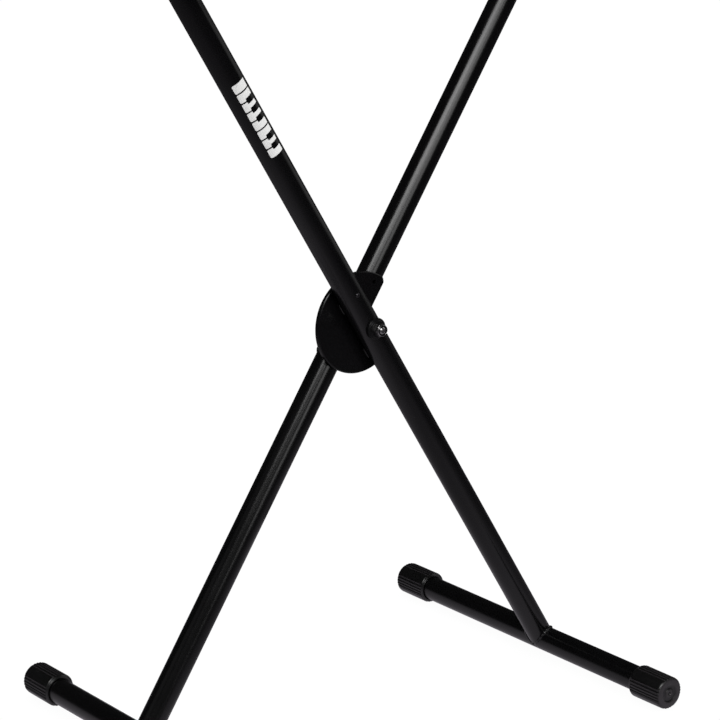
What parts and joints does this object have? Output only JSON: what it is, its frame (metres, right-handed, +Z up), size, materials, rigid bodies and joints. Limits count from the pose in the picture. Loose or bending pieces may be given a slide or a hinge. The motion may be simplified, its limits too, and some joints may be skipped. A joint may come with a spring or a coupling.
{
  "type": "keyboard stand",
  "caption": "Folding single-braced X stand of round black tube for a digital piano, with a height lock disc, pull knob, ribbed levelling foot caps and rubber-sleeved top bars.",
  "frame": {"origin": "on the floor, midway between the four feet and straight below the pivot", "axes": "+Z up; the two legs cross in planes parallel to XZ, the front leg on the -Y side; the foot tubes and the top bars run along Y"},
  "size_m": [0.5704, 0.453, 0.863],
  "materials": {
    "powder_coat": "satin black powder coat with a fine orange peel",
    "cap_rubber": "moulded black rubber, dull, ribbed",
    "grip_rubber": "soft black rubber with a dull skin",
    "zinc_plate": "bright zinc plated steel",
    "black_oxide": "dark oiled steel",
    "black_plastic": "moulded black nylon",
    "spring_steel": "bright drawn spring wire",
    "white_ink": "white screen print, slightly raised"
  },
  "bodies": {
    "front_frame": {"front_leg_tube": "powder_coat", "front_crush_sleeve": "zinc_plate", "front_foot_tube": "powder_coat", "front_top_bar": "powder_coat", "front_bar_plug_near": "cap_rubber", "front_bar_plug_far": "cap_rubber", "front_grip_near": "grip_rubber", "front_grip_far": "grip_rubber", "lock_disc": "powder_coat", "index_plate": "zinc_plate", "disc_rivet": "black_oxide", "leg_print": "white_ink", "saddle_bush": "black_plastic", "pivot_lock_nut": "zinc_plate", "pivot_bolt": "zinc_plate", "pivot_spacer": "zinc_plate", "spring_retainer": "zinc_plate"},
    "rear_frame": {"rear_leg_tube": "powder_coat", "rear_crush_sleeve": "zinc_plate", "rear_foot_tube": "powder_coat", "rear_top_bar": "powder_coat", "rear_bar_plug_near": "cap_rubber", "rear_bar_plug_far": "cap_rubber", "rear_grip_near": "grip_rubber", "rear_grip_far": "grip_rubber", "pin_guide": "zinc_plate"},
    "lock": {"pull_knob": "black_plastic", "pin_carrier": "black_oxide", "lock_pin": "zinc_plate", "lock_spring": "spring_steel"},
    "front_near_cap": {"front_foot_cap_near": "cap_rubber"},
    "front_far_cap": {"front_foot_cap_far": "cap_rubber"},
    "rear_near_cap": {"rear_foot_cap_near": "cap_rubber"},
    "rear_far_cap": {"rear_foot_cap_far": "cap_rubber"}
  },
  "joints": [
    {"name": "leg_fold", "type": "hinge", "parent": "front_frame", "child": "rear_frame", "pos_m": [0, 0, 0.4324], "axis": [0, -1, 0], "range_deg": [-30, 60]},
    {"name": "lock_pull", "type": "slide", "parent": "rear_frame", "child": "lock", "axis": [0, 1, 0], "range_m": [0, 0.0045], "stiffness_N_per_m": 3000, "springref_m": -0.004, "deforming": ["lock_spring"]},
    {"name": "front_near_cap_turn", "type": "hinge", "parent": "front_frame", "child": "front_near_cap", "pos_m": [0.2658, 0, 0.01838], "axis": [0, 1, 0], "continuous": true},
    {"name": "front_far_cap_turn", "type": "hinge", "parent": "front_frame", "child": "front_far_cap", "pos_m": [0.2658, 0, 0.01838], "axis": [0, 1, 0], "continuous": true},
    {"name": "rear_near_cap_turn", "type": "hinge", "parent": "rear_frame", "child": "rear_near_cap", "pos_m": [-0.2658, 0, 0.01838], "axis": [0, 1, 0], "continuous": true},
    {"name": "rear_far_cap_turn", "type": "hinge", "parent": "rear_frame", "child": "rear_far_cap", "pos_m": [-0.2658, 0, 0.01838], "axis": [0, 1, 0], "continuous": true}
  ]
}
